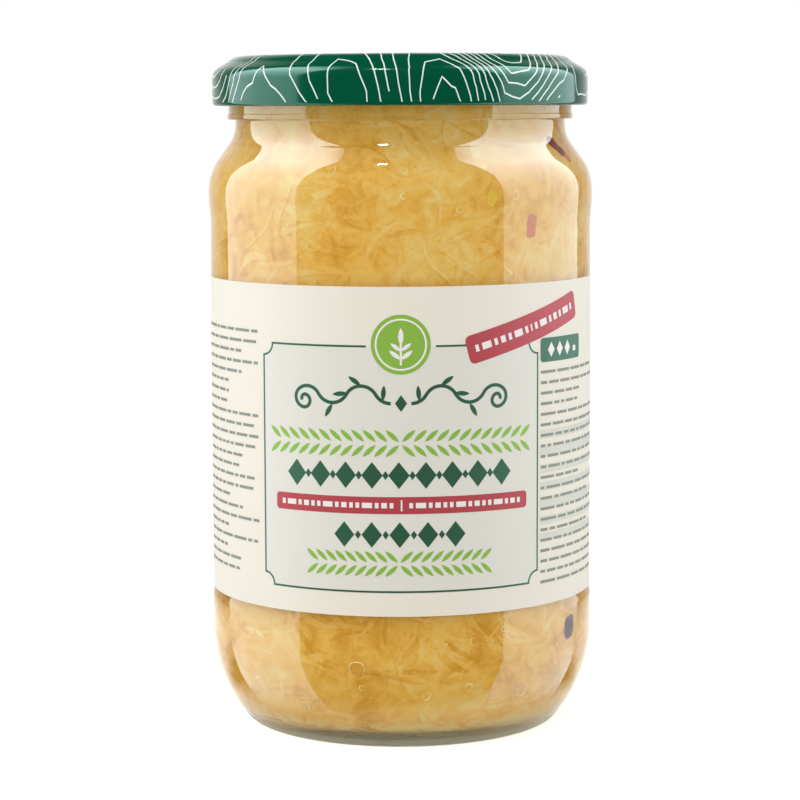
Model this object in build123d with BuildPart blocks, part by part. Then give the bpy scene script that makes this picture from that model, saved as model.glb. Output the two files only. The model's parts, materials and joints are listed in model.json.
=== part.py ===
from build123d import *
import os
from math import cos, radians, sin

# Sauerkraut in a glass jar, with a twist-off metal lid and a paper label wrapped round it.
# Millimetres, +Z up. The origin is on the jar's axis, in the plane that the jar stands on.
# Every piece is turned about that axis, so sketches on Plane.XZ have the radius as X and the
# height as Y. Angles round the axis are counted from +X, anticlockwise from above.

# ---- driving dimensions: the jar's outside ----
jar_height = 151.2  # standing plane to rim
band_radius = 43.64  # the two raised bands, which guard the label against scuffing
panel_recess = 0.33  # the label's panel lies this far inside the bands
finish_radius = 38.84  # the wall that carries the threads
neck_recess = 1.42  # the neck lies this far inside the finish
finish_height = 13.9  # underside of the bead to the rim
neck_length = 1.0  # straight neck under the bead
bead_height = 1.3  # the bead that the mould's jaws lift the hot jar by
bead_proud = 0.35
shoulder_lean = 36.5  # degrees from upright, on the straight of the shoulder
shoulder_round = 12.35  # outward bend, from the upper band
shoulder_hollow = 7.9  # inward bend, into the neck
upper_band_height = 2.3
upper_band_ramp = 4.4
lower_band_top = 29.3
lower_band_ramp = 1.2
heel_round = 32.6  # long bend from the lower band down to the base
heel_lean = 40.0  # degrees from upright, where that bend meets the corner
heel_corner = 3.0
standing_ring_width = 2.0  # flat ring that the jar rests on
push_up = 2.6  # height of the hollow under the base

# ---- driving dimensions: the glass and what is inside ----
wall = 2.3  # body and shoulder
base_thickness = 5.0  # at the edge of the floor
floor_rise = 1.4  # middle of the floor above its edge
inner_heel_round = 30.6
inner_heel_lean = 30.0
inner_corner = 7.0
rim_round = 3.1  # outer edge of the rim
rim_land = 0.7  # flat that the lid seats on
rim_inner_round = 0.4
fill_clearance = 0.1  # between the sauerkraut and the glass
headspace = 4.0  # rim to the top of the sauerkraut

# ---- driving dimensions: threads and lid ----
thread_starts = 6
thread_arc = 50.0  # degrees that each ramp runs round the finish
thread_rise = 2.9
thread_depth = 1.6
thread_height = 1.3  # at the root
thread_crest = 0.7  # flat on the outside of a ramp
thread_show = 0.1  # the middle of a ramp's lower end comes this far out below the lid
thread_end_angle = -47.0  # degrees; where one ramp has its lower end
thread_root = 0.3  # how far a ramp reaches into the wall, to join it
lid_gauge = 0.22  # tinplate
lid_skirt_clearance = 1.84  # crest of the threads to the inside of the skirt
lid_height = 11.1  # bottom of the curl to the top of the crest
lid_corner = 3.0  # bend from the skirt to the sloping shoulder
lid_slope = 30.0  # degrees from level, on that shoulder
lid_ring_round = 4.35  # bend from the ring over the rim down to the shoulder
lid_ring_sweep = 45.0
lid_seat_margin = 0.1  # the lid's flat ring is wider than the rim's land by this, each side
lid_panel_drop = 0.6  # the middle panel lies below the ring
lid_panel_ramp = 1.2
button_radius = 13.0  # button that pops up once the vacuum is lost
button_height = 0.35
button_ramp = 1.5
curl_radius = 0.8  # rolled edge at the bottom of the skirt
lug_reach = 1.0  # how far a lug hooks in under the threads
lug_height = 0.7
lug_arc = 12.0  # degrees that a lug is wide
lug_before_thread_end = 3.0  # degrees from the middle of a lug to the upper end of its ramp

# ---- driving dimensions: the label ----
label_thickness = 0.1
label_glue = 0.02
label_bottom_margin = 0.5  # up from the lower end of the panel
label_top_margin = 12.4  # down from the upper end of the panel
label_seam = 10.0  # bare strip of glass at the back, between the label's two ends

# ---- places worked out from them ----
panel_radius = band_radius - panel_recess
neck_radius = finish_radius - neck_recess
bead_bottom = jar_height - finish_height
bead_top = bead_bottom + bead_height
shoulder_top = bead_bottom - neck_length


def shoulder_height(drop_in, lean, round_radius, hollow_radius):
    """Height of a bend, a straight and a bend back that come in by drop_in."""
    bends = round_radius + hollow_radius
    straight = (drop_in - bends * (1 - cos(radians(lean)))) / sin(radians(lean))
    return bends * sin(radians(lean)) + straight * cos(radians(lean))


shoulder_bottom = shoulder_top - shoulder_height(
    band_radius - neck_radius, shoulder_lean, shoulder_round, shoulder_hollow
)
panel_top = shoulder_bottom - upper_band_height - upper_band_ramp
panel_bottom = lower_band_top + lower_band_ramp
standing_ring_outer = (
    band_radius
    - heel_round * (1 - cos(radians(heel_lean)))
    - heel_corner * cos(radians(heel_lean))
)
standing_ring_inner = standing_ring_outer - standing_ring_width

bore_radius = finish_radius - rim_round - rim_land - rim_inner_round
inner_radius = panel_radius - wall
inner_round = shoulder_round - wall
inner_hollow = shoulder_hollow + wall
# The straight of the inner shoulder is one wall away from the straight of the outer one.
outer_slope_start = band_radius - shoulder_round * (1 - cos(radians(shoulder_lean)))
inner_slope_start = inner_radius - inner_round * (1 - cos(radians(shoulder_lean)))
slope_lift = (
    wall - (outer_slope_start - inner_slope_start) * cos(radians(shoulder_lean))
) / sin(radians(shoulder_lean))
inner_shoulder_bottom = (
    shoulder_bottom + (shoulder_round - inner_round) * sin(radians(shoulder_lean)) - slope_lift
)

lid_top = jar_height + lid_gauge
lid_bottom = lid_top - lid_height
lid_radius = finish_radius + thread_depth + lid_skirt_clearance + lid_gauge
lid_ring_outer = finish_radius - rim_round + lid_seat_margin
lid_ring_inner = bore_radius + rim_inner_round - lid_seat_margin


def dome_arc(edge_radius, level, rise):
    """Half of a shallow dome, from its middle on the axis, rise above level, out to its edge."""
    curvature_radius = (edge_radius**2 + rise**2) / (2 * rise)
    return RadiusArc(
        (0, level + rise), (edge_radius, level), curvature_radius, short_sagitta=True
    )


def jar_outside():
    """From the middle of the base, under the push-up, out and up to the rim's land."""
    under = dome_arc(standing_ring_inner, 0, push_up)
    ring = Line(under @ 1, (standing_ring_outer, 0))
    corner = JernArc(
        start=ring @ 1, tangent=(1, 0), radius=heel_corner, arc_size=90 - heel_lean
    )
    heel = JernArc(
        start=corner @ 1, tangent=corner % 1, radius=heel_round, arc_size=heel_lean
    )
    bands = Polyline(
        heel @ 1,
        (band_radius, lower_band_top),
        (panel_radius, panel_bottom),
        (panel_radius, panel_top),
        (band_radius, shoulder_bottom - upper_band_height),
        (band_radius, shoulder_bottom),
    )
    bend_in = JernArc(
        start=bands @ 1, tangent=(0, 1), radius=shoulder_round, arc_size=shoulder_lean
    )
    bend_back_start = (
        neck_radius + shoulder_hollow * (1 - cos(radians(shoulder_lean))),
        shoulder_top - shoulder_hollow * sin(radians(shoulder_lean)),
    )
    Line(bend_in @ 1, bend_back_start)
    bend_back = JernArc(
        start=bend_back_start, tangent=bend_in % 1, radius=shoulder_hollow,
        arc_size=-shoulder_lean,
    )
    finish = Polyline(
        bend_back @ 1,
        (neck_radius, bead_bottom),
        (finish_radius + bead_proud, bead_bottom),
        (finish_radius + bead_proud, bead_top - bead_proud),
        (finish_radius, bead_top),
        (finish_radius, jar_height - rim_round),
    )
    edge = JernArc(start=finish @ 1, tangent=(0, 1), radius=rim_round, arc_size=90)
    Line(edge @ 1, (bore_radius + rim_inner_round, jar_height))


def hollow(clearance):
    """From the middle of the floor out and up the bore, drawn in from the glass by clearance."""
    radius = inner_radius - clearance
    heel = inner_heel_round - clearance
    corner = inner_corner - clearance
    lean = radians(inner_heel_lean)
    floor_edge = radius - heel * (1 - cos(lean)) - corner * cos(lean)
    floor_level = base_thickness + clearance
    floor = dome_arc(floor_edge, floor_level, floor_rise)
    corner_arc = JernArc(
        start=floor @ 1, tangent=(1, 0), radius=corner, arc_size=90 - inner_heel_lean
    )
    heel_arc = JernArc(
        start=corner_arc @ 1, tangent=corner_arc % 1, radius=heel, arc_size=inner_heel_lean
    )
    side = Line(heel_arc @ 1, (radius, inner_shoulder_bottom))
    bend_in = JernArc(
        start=side @ 1, tangent=(0, 1), radius=inner_round - clearance, arc_size=shoulder_lean
    )
    neck = bore_radius - clearance
    hollow_bend = inner_hollow + clearance
    height = shoulder_height(radius - neck, shoulder_lean, inner_round - clearance, hollow_bend)
    bend_back_start = (
        neck + hollow_bend * (1 - cos(radians(shoulder_lean))),
        inner_shoulder_bottom + height - hollow_bend * sin(radians(shoulder_lean)),
    )
    Line(bend_in @ 1, bend_back_start)
    return JernArc(
        start=bend_back_start, tangent=bend_in % 1, radius=hollow_bend, arc_size=-shoulder_lean
    )


# ---- one thread ramp, repeated round the finish ----
thread_start_height = lid_bottom - thread_show
with BuildPart() as thread_ramp:
    with BuildLine() as ramp_path:
        Helix(
            pitch=thread_rise * 360 / thread_arc,
            height=thread_rise,
            radius=finish_radius,
            center=(0, 0, thread_start_height),
        )
    with BuildSketch(Plane(origin=ramp_path.line @ 0, x_dir=(1, 0, 0), z_dir=ramp_path.line % 0)):
        with BuildLine():
            Polyline(
                (-thread_root, -thread_height / 2),
                (thread_depth, -thread_crest / 2),
                (thread_depth, thread_crest / 2),
                (-thread_root, thread_height / 2),
                close=True,
            )
        make_face()
    sweep(path=ramp_path.line, is_frenet=True)

# ---- jar: pressed and blown glass ----
with BuildPart() as jar:
    with BuildSketch(Plane.XZ):
        with BuildLine():
            jar_outside()
            bore_bend = hollow(0)
            bore = Line(bore_bend @ 1, (bore_radius, jar_height - rim_inner_round))
            JernArc(
                start=bore @ 1, tangent=(0, 1), radius=rim_inner_round, arc_size=-90
            )
            Line((0, push_up), (0, base_thickness + floor_rise))
        make_face()
    revolve(axis=Axis.Z)
    with PolarLocations(0, thread_starts, start_angle=thread_end_angle):
        add(thread_ramp.part)
jar.part.label = "jar"

# ---- sauerkraut: packed to just under the rim, and a hair clear of the glass ----
fill_top = jar_height - headspace
with BuildPart() as sauerkraut:
    with BuildSketch(Plane.XZ):
        with BuildLine():
            fill_bend = hollow(fill_clearance)
            Polyline(
                fill_bend @ 1,
                (bore_radius - fill_clearance, fill_top),
                (0, fill_top),
                (0, base_thickness + fill_clearance + floor_rise),
            )
        make_face()
    revolve(axis=Axis.Z)
sauerkraut.part.label = "sauerkraut"

# ---- label: paper round the panel, open at the back ----
label_bottom = panel_bottom + label_bottom_margin
label_top = panel_top - label_top_margin
label_inner_radius = panel_radius + label_glue
with BuildPart() as label:
    with BuildSketch(Plane.XY.offset(label_bottom)):
        Circle(label_inner_radius + label_thickness)
        Circle(label_inner_radius, mode=Mode.SUBTRACT)
        with Locations((0, panel_radius)):
            Rectangle(label_seam, panel_radius, mode=Mode.SUBTRACT)
    extrude(amount=label_top - label_bottom)
label.part.label = "label"


def lid_section(inset):
    """Radius and height chain from the axis to the foot of the skirt, drawn in by inset."""
    top = lid_top - inset
    panel = top - lid_panel_drop
    ring_bend = lid_ring_round - inset
    middle = Polyline(
        (0, panel + button_height),
        (button_radius - button_ramp, panel + button_height),
        (button_radius, panel),
        (lid_ring_inner - lid_panel_ramp, panel),
        (lid_ring_inner, top),
        (lid_ring_outer, top),
    )
    over_rim = JernArc(
        start=middle @ 1, tangent=(1, 0), radius=ring_bend, arc_size=-lid_ring_sweep
    )
    corner = lid_corner - inset
    slope = radians(lid_slope)
    skirt = lid_radius - inset
    slope_end_radius = skirt - corner * (1 - sin(slope))
    # The crease below the ring is a mitre, so the inner slope starts along the same line.
    slope_run = slope_end_radius - (over_rim @ 1).X
    slope_end = (slope_end_radius, (over_rim @ 1).Y - slope_run * sin(slope) / cos(slope))
    Line(over_rim @ 1, slope_end)
    bend_down = JernArc(
        start=slope_end, tangent=(cos(slope), -sin(slope)), radius=corner,
        arc_size=lid_slope - 90,
    )
    return Line(bend_down @ 1, (skirt, lid_bottom + curl_radius))


# ---- one lug of the lid ----
curl_center_radius = lid_radius - curl_radius
lug_inner_radius = finish_radius + thread_depth - lug_reach
lug_middle_angle = thread_end_angle + thread_arc - lug_before_thread_end
with BuildPart() as lug:
    with BuildSketch(Plane.XZ):
        with Locations((lug_inner_radius, lid_bottom + curl_radius - lug_height / 2)):
            Rectangle(
                curl_center_radius - lug_inner_radius, lug_height, align=(Align.MIN, Align.MIN)
            )
    revolve(axis=Axis.Z, revolution_arc=lug_arc)

# ---- lid: lacquered tinplate, pressed from one blank ----
with BuildPart() as lid:
    with BuildSketch(Plane.XZ):
        with BuildLine():
            outer_foot = lid_section(0)
            inner_foot = lid_section(lid_gauge)
            Line(outer_foot @ 1, inner_foot @ 1)
            crown = lid_top - lid_panel_drop + button_height
            Line((0, crown), (0, crown - lid_gauge))
        make_face()
        with Locations((curl_center_radius, lid_bottom + curl_radius)):
            Circle(curl_radius)
    revolve(axis=Axis.Z)
    with PolarLocations(0, thread_starts, start_angle=lug_middle_angle - lug_arc / 2):
        add(lug.part)
lid.part.label = "lid"

# ---- one STEP file for each piece ----
os.makedirs("parts", exist_ok=True)
for piece in (jar, sauerkraut, label, lid):
    export_step(piece.part, f"parts/{piece.part.label}.step")
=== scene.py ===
import json
import math
import random

import bpy
import numpy as np
from bpy.props import FloatProperty, FloatVectorProperty, IntProperty, PointerProperty
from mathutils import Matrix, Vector, noise

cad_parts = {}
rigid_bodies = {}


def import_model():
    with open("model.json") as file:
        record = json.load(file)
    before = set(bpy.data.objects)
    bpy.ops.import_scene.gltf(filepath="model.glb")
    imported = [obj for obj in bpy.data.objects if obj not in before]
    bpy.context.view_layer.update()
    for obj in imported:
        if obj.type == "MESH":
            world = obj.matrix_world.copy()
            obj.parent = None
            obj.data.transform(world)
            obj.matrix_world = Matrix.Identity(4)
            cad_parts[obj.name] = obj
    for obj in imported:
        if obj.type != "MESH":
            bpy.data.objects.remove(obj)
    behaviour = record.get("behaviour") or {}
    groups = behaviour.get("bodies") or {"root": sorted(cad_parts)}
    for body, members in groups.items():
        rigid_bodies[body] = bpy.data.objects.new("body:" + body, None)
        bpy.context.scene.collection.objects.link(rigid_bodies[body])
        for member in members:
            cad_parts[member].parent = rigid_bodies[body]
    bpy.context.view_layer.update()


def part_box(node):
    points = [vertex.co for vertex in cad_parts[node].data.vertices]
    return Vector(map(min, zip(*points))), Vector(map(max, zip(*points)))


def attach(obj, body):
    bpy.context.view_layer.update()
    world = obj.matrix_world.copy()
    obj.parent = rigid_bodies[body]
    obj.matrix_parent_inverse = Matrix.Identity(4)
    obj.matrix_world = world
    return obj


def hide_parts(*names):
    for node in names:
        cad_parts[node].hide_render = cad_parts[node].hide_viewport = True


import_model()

# A glass jar of sauerkraut with a twist-off lid and a paper label.
# Metres, +Z up, with the origin on the jar's axis in the plane it stands on. Angles round the
# axis are counted from the front, -Y, and grow towards +X.

bl_info = {
    "name": "Sauerkraut jar",
    "version": (1, 0, 0),
    "blender": (4, 5, 0),
    "location": "View3D > Sidebar > Jar",
    "description": "Models a jar of sauerkraut, its lid and its label, on a plain studio floor",
    "category": "Add Mesh",
}

MM = 0.001
MERGE = 0.001 * MM
JAR_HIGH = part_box("jar")[1]
LID_LOW, LID_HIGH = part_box("lid")
LABEL_LOW, LABEL_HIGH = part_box("label")
FILL_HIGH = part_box("sauerkraut")[1]


def linear(hex_colour):
    """The linear red, green and blue of an sRGB hex value such as "E6E0CD"."""
    values = [int(hex_colour[i : i + 2], 16) / 255 for i in (0, 2, 4)]
    return tuple(v / 12.92 if v <= 0.04045 else ((v + 0.055) / 1.055) ** 2.4 for v in values)


def setting(kind, convert=lambda value: value, **fixed):
    """A maker of properties of one kind, each with a name, a description and a default."""

    def make(name, description, default):
        return kind(name=name, description=description, default=convert(default), **fixed)

    return make


length = setting(FloatProperty, unit="LENGTH", precision=5)
turn = setting(FloatProperty, math.radians, unit="ROTATION")
amount = setting(FloatProperty, precision=3)
count = setting(IntProperty, min=0)
colour = setting(FloatVectorProperty, linear, subtype="COLOR", min=0, max=1)


# ---- what a user can change ----


class JarSizes(bpy.types.PropertyGroup):
    """Sizes of the glass."""

    height: length("Height", "Standing plane to rim", JAR_HIGH.z)
    band_radius: length("Body radius", "Radius at the two raised bands", JAR_HIGH.x)
    panel_recess: length("Panel recess", "The label's panel lies this far in", 0.33 * MM)
    finish_radius: length("Finish radius", "Wall that carries the threads", 38.84 * MM)
    neck_recess: length("Neck recess", "The neck lies this far inside the finish", 1.42 * MM)
    finish_height: length("Finish height", "Underside of the bead to the rim", 13.9 * MM)
    neck_length: length("Neck length", "Straight neck under the bead", 1.0 * MM)
    bead_height: length("Bead height", "Height of the transfer bead", 1.3 * MM)
    bead_proud: length("Bead proud", "How far the bead stands out", 0.35 * MM)
    shoulder_lean: turn("Shoulder lean", "From upright, on the shoulder's straight", 36.5)
    shoulder_round: length("Shoulder round", "Outward bend from the upper band", 12.35 * MM)
    shoulder_hollow: length("Shoulder hollow", "Inward bend into the neck", 7.9 * MM)
    upper_band_height: length("Upper band", "Height of the upper band", 2.3 * MM)
    upper_band_ramp: length("Upper ramp", "Height of the ramp under it", 4.4 * MM)
    lower_band_top: length("Lower band top", "Height of the lower band's top", 29.3 * MM)
    lower_band_ramp: length("Lower ramp", "Height of the ramp over it", 1.2 * MM)
    heel_round: length("Heel round", "Long bend down to the base", 32.6 * MM)
    heel_lean: turn("Heel lean", "From upright, where that bend meets the corner", 40)
    heel_corner: length("Heel corner", "Bend on to the standing ring", 3.0 * MM)
    ring_width: length("Ring width", "Flat ring that the jar stands on", 2.0 * MM)
    push_up: length("Push-up", "Height of the hollow under the base", 2.6 * MM)
    wall: length("Wall", "Thickness of the body", 2.3 * MM)
    base_thickness: length("Base thickness", "Thickness at the edge of the floor", 5.0 * MM)
    floor_rise: length("Floor rise", "Middle of the floor above its edge", 1.4 * MM)
    inner_heel_round: length("Inner heel", "Long bend inside the heel", 30.6 * MM)
    inner_heel_lean: turn("Inner heel lean", "From upright, where it meets its corner", 30)
    inner_corner: length("Inner corner", "Bend on to the floor", 7.0 * MM)
    rim_round: length("Rim round", "Outer edge of the rim", 3.1 * MM)
    rim_land: length("Rim land", "Flat that the lid seats on", 0.7 * MM)
    rim_inner_round: length("Rim inner round", "Inner edge of the rim", 0.4 * MM)
    thread_starts: count("Thread starts", "Ramps round the finish", 6)
    thread_arc: turn("Thread arc", "Angle that each ramp runs", 50)
    thread_rise: length("Thread rise", "Height that each ramp climbs", 2.9 * MM)
    thread_depth: length("Thread depth", "How far a ramp stands out", 1.6 * MM)
    thread_height: length("Thread height", "Height of a ramp at its root", 1.3 * MM)
    thread_crest: length("Thread crest", "Flat on the outside of a ramp", 0.7 * MM)
    thread_show: length("Thread show", "How far a ramp's end comes out below the lid", 0.1 * MM)
    thread_end: turn("Thread end", "Where one ramp has its lower end, from +X", -47)
    stipple_height: length("Stipple height", "The base is stippled up to here", 1.6 * MM)
    tint: colour("Tint", "What thick glass lets through", "B8E8C0")

    @property
    def panel_radius(self):
        return self.band_radius - self.panel_recess

    @property
    def neck_radius(self):
        return self.finish_radius - self.neck_recess

    @property
    def bead_bottom(self):
        return self.height - self.finish_height

    @property
    def shoulder_top(self):
        return self.bead_bottom - self.neck_length

    @property
    def bore_radius(self):
        return self.finish_radius - self.rim_round - self.rim_land - self.rim_inner_round


class LidSizes(bpy.types.PropertyGroup):
    """Sizes and colours of the lid."""

    radius: length("Radius", "Outside of the skirt", LID_HIGH.x)
    gauge: length("Gauge", "Thickness of the tinplate", 0.22 * MM)
    corner: length("Corner", "Bend from the skirt to the slope", 3.0 * MM)
    slope: turn("Slope", "From level, on the lid's shoulder", 30)
    ring_round: length("Ring round", "Bend from the ring over the rim", 4.35 * MM)
    ring_sweep: turn("Ring sweep", "Angle of that bend", 45)
    ring_outer: length("Ring outer", "Outer radius of the flat ring", 35.84 * MM)
    ring_inner: length("Ring inner", "Inner radius of the flat ring", 34.94 * MM)
    panel_drop: length("Panel drop", "The middle lies below the ring", 0.6 * MM)
    panel_ramp: length("Panel ramp", "Width of the step down to it", 1.2 * MM)
    button_radius: length("Button radius", "Vacuum button", 13.0 * MM)
    button_height: length("Button height", "How far it stands up", 0.35 * MM)
    button_ramp: length("Button ramp", "Width of its sloping edge", 1.5 * MM)
    curl_radius: length("Curl radius", "Rolled edge of the skirt", 0.8 * MM)
    lugs: count("Lugs", "Lugs round the curl", 6)
    lug_radius: length("Lug radius", "How near the axis a lug comes", 39.44 * MM)
    lug_height: length("Lug height", "Thickness of a lug", 0.7 * MM)
    lug_arc: turn("Lug arc", "Width of a lug", 12)
    lug_middle: turn("Lug middle", "Middle of one lug, from +X", 0)
    lacquer: colour("Lacquer", "Green gloss lacquer", "00543A")
    line: colour("Lines", "Pale contour lines", "EEFBF4")
    line_width: length("Line width", "Width of a contour line", 0.36 * MM)
    line_ink: length("Line ink", "Thickness of the print, as thick as it needs to show", 0.03 * MM)
    line_step: amount("Line step", "Height between contour lines, on hills about 1 high", 0.235)
    line_grid: length("Line grid", "Size of the facets that the lines cross", 4.8 * MM)
    line_seed: count("Line seed", "Start of the random draws", 5)


class LabelSizes(bpy.types.PropertyGroup):
    """Sizes and colours of the label."""

    radius: length("Radius", "Outside of the paper", LABEL_HIGH.x)
    thickness: length("Thickness", "Thickness of the paper", 0.1 * MM)
    bottom: length("Bottom", "Height of the lower edge", LABEL_LOW.z)
    top: length("Top", "Height of the upper edge", LABEL_HIGH.z)
    seam: length("Seam", "Bare glass between the label's ends", 10.0 * MM)
    ink: length("Ink", "Thickness of the print, as thick as it needs to show", 0.03 * MM)
    border_width: length("Border width", "Across the printed border", 65.4 * MM)
    border_bottom: length("Border bottom", "Height of its lower line", 36.4 * MM)
    border_top: length("Border top", "Height of its upper line", 89.4 * MM)
    border_notch: length("Border notch", "Radius of its hollow corners", 2.6 * MM)
    border_line: length("Border line", "Width of its line", 0.42 * MM)
    medallion: length("Medallion", "Radius of the disc on the upper line", 6.4 * MM)
    medallion_height: length("Medallion height", "Height of its middle", 89.8 * MM)
    scroll_line: length("Scroll line", "Width of the scroll's line", 0.75 * MM)
    small_pitch: length("Small pitch", "From line to line of the small marks", 2.32 * MM)
    print_seed: count("Print seed", "Start of the random draws", 11)
    paper: colour("Paper", "Uncoated cream paper", "F1EADA")
    panel: colour("Panel", "Pale field inside the border", "E8E5DA")
    dark_green: colour("Dark green", "Border, scrolls and lozenges", "1F5F40")
    light_green: colour("Light green", "Leaf garlands", "8DBE3A")
    red: colour("Red", "Bar and tag", "BC3A42")
    white: colour("White", "Marks on the red and green fields", "F5F1EC")
    grey: colour("Grey", "Small marks", "85897A")
    wash: colour("Wash", "Stripes behind the small marks", "DCD9CC")


class FoodSizes(bpy.types.PropertyGroup):
    """Sizes and colours of the sauerkraut."""

    reach: length("Reach", "How far the sauerkraut reaches into the wall", 0.15 * MM)
    top: length("Top", "Level that the jar is filled to", FILL_HIGH.z)
    shreds: count("Shreds", "Cabbage shreds that lie against the glass", 2400)
    bubbles: count("Bubbles", "Air bubbles caught against the glass", 230)
    flecks: count("Flecks", "Browned tips and crumbs of spice", 420)
    seed: count("Seed", "Start of the random draws", 7)
    # The lower half is drawn darker and more golden by this much.
    steeped: amount("Steeped", "How much more golden it is in the lower half", 0.45)
    pale: colour("Pale", "Lightest shreds", "F2CF7C")
    ochre: colour("Ochre", "Most of the cabbage", "EEB751")
    golden: colour("Golden", "Deepest juice-soaked spots", "D89A2C")
    bacon: colour("Bacon", "Lean of the bacon bits", "96260F")
    fat: colour("Fat", "Rosy fat of the bacon bits", "E8803F")
    berry: colour("Berry", "Juniper berry", "4A1A16")
    fleck: colour("Fleck", "Browned tips", "F2AC34")
    juice: colour("Juice", "Clear juice behind a bubble", "E2A025")
    rib: colour("Rib", "Yellow ribs of the cabbage", "F6C62C")
    # Painted highlight: the colour of the bright lines round the bubbles.
    rim: colour("Bubble rim", "Light caught on a bubble's edge", "FFEDB4")


class StageSettings(bpy.types.PropertyGroup):
    """Camera, light and floor."""

    distance: length("Distance", "Camera to the jar's axis", 578.8 * MM)
    eye: length("Eye height", "Camera above the floor", 139.76 * MM)
    pitch: turn("Pitch", "How far the camera looks down", 6.583)
    roll: turn("Roll", "How far the camera leans", 0.2)
    lens: amount("Lens", "Focal length in millimetres on a 36 mm sensor", 113.83)
    fill: amount("Fill", "Level of the light from all round", 0.98)
    softbox: amount("Softbox", "Brightness of the two tall softboxes in reflections", 3.1)
    softbox_away: length("Softbox away", "From the jar's axis to a softbox", 603 * MM)
    softbox_middle: length("Softbox middle", "Height of a softbox's middle", 180 * MM)
    softbox_tall: length("Softbox tall", "Height of a softbox from end to end", 4600 * MM)
    waist: length("Waist", "Height on the jar that the other lamps face", 75 * MM)
    key: amount("Key", "Power of the large soft lamp, in watts", 2.4)
    floor: colour("Floor", "Pale floor", "DCDCDC")


# ---- modelling by hand, in small steps ----


def deselect():
    """Leaves edit mode and selects nothing."""
    if bpy.context.object and bpy.context.object.mode != "OBJECT":
        bpy.ops.object.mode_set(mode="OBJECT")
    bpy.ops.object.select_all(action="DESELECT")


def select_all():
    """Selects all of the mesh that is open in edit mode."""
    bpy.ops.mesh.select_all(action="SELECT")


def select_only(elements, wanted):
    """Selects just the wanted vertices or edges of the active mesh, in edit mode."""
    bpy.ops.object.mode_set(mode="EDIT")
    bpy.ops.mesh.select_all(action="DESELECT")
    bpy.ops.object.mode_set(mode="OBJECT")
    elements.foreach_set("select", wanted)
    bpy.ops.object.mode_set(mode="EDIT")


def edit():
    """Opens the active mesh in edit mode, with all of it selected."""
    bpy.ops.object.mode_set(mode="EDIT")
    select_all()


def cut_at(places, normal):
    """Cuts the mesh by planes square to an axis, at these places along it."""
    for place in places:
        select_all()
        bpy.ops.mesh.bisect(plane_co=[place * v for v in normal], plane_no=normal)


def blank(name):
    """An empty mesh object at the origin, open in edit mode."""
    deselect()
    bpy.ops.mesh.primitive_plane_add(size=MM, location=(0, 0, 0))
    bpy.context.object.name = name
    edit()
    bpy.ops.mesh.delete(type="VERT")
    return bpy.context.object


class Pen:
    """Draws a chain of edges in the XZ plane by extruding and spinning its last vertex. The
    spin operator turns clockwise about its axis, seen against it."""

    def __init__(self, unit=1.0):
        """Draws in metres, or in the unit given."""
        self.unit = unit

    def start(self, x, z, heading=0.0):
        """Sets down a first vertex. The heading is an angle from +X towards +Z."""
        place = (x * self.unit, 0, z * self.unit)
        bpy.ops.mesh.primitive_plane_add(size=MM, location=place)
        bpy.ops.mesh.merge(type="CENTER")
        self.x, self.z, self.heading = x, z, heading
        return self

    def line_to(self, x, z, steps=1):
        """A straight to x, z in equal steps."""
        part = self.unit / steps
        step = ((x - self.x) * part, 0, (z - self.z) * part)
        for _ in range(steps):
            bpy.ops.mesh.extrude_region_move(TRANSFORM_OT_translate={"value": step})
        self.heading = math.atan2(z - self.z, x - self.x)
        self.x, self.z = x, z
        return self

    def forward(self, distance):
        """A straight on in the present heading."""
        x = self.x + distance * math.cos(self.heading)
        return self.line_to(x, self.z + distance * math.sin(self.heading))

    def bend(self, radius, angle, steps=None):
        """An arc that turns left by angle, or right where it is negative."""
        side = math.copysign(1, angle)
        middle_x = self.x - side * radius * math.sin(self.heading)
        middle_z = self.z + side * radius * math.cos(self.heading)
        bpy.ops.mesh.spin(
            steps=steps or max(3, math.ceil(abs(math.degrees(angle)) / 6)), angle=abs(angle),
            center=(middle_x * self.unit, 0, middle_z * self.unit), axis=(0, side, 0),
        )
        self.heading += angle
        self.x = middle_x + side * radius * math.sin(self.heading)
        self.z = middle_z - side * radius * math.cos(self.heading)
        return self

    def round_to(self, corner, after, radius, steps=1):
        """A straight towards corner, and an arc there that sets off towards after."""
        first = Vector(corner) - Vector((self.x, self.z))
        second = Vector(after) - Vector(corner)
        angle = first.angle_signed(second) * -1
        back = first.normalized() * radius * math.tan(abs(angle) / 2)
        self.line_to(corner[0] - back.x, corner[1] - back.y, steps)
        return self.bend(radius, angle, 4)

    def pass_by(self, *corners):
        """Straights past round corners towards the last one, which it doesn't reach. A
        corner is x, z, radius and the steps of the straight that leads to it."""
        for (x, z, radius, steps), after in zip(corners, corners[1:]):
            self.round_to((x, z), after[:2], radius, steps)


def outline_of(piece):
    """The drawn chain's vertices as x, z pairs, in the order they were drawn."""
    bpy.ops.object.mode_set(mode="OBJECT")
    points = [(v.co.x, v.co.z) for v in piece.data.vertices]
    bpy.ops.object.mode_set(mode="EDIT")
    return points


def turn_on_axis(steps, angle=math.tau):
    """Spins all that is drawn about the jar's axis and closes the seam and poles."""
    select_all()
    bpy.ops.mesh.spin(steps=steps, angle=angle, center=(0, 0, 0), axis=(0, 0, -1))
    select_all()
    bpy.ops.mesh.remove_doubles(threshold=MERGE)
    bpy.ops.mesh.dissolve_degenerate(threshold=MERGE)
    bpy.ops.mesh.normals_make_consistent(inside=False)


def modify(piece, kind, **settings):
    """Adds a modifier with its settings and applies it."""
    deselect()
    piece.select_set(True)
    bpy.context.view_layer.objects.active = piece
    bpy.ops.object.modifier_add(type=kind)
    modifier = piece.modifiers[-1]
    for name, value in settings.items():
        setattr(modifier, name, value)
    bpy.ops.object.modifier_apply(modifier=modifier.name)


def join(pieces):
    """Joins the pieces into the first one."""
    deselect()
    for piece in pieces:
        piece.select_set(True)
    bpy.context.view_layer.objects.active = pieces[0]
    bpy.ops.object.join()
    return pieces[0]


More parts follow.
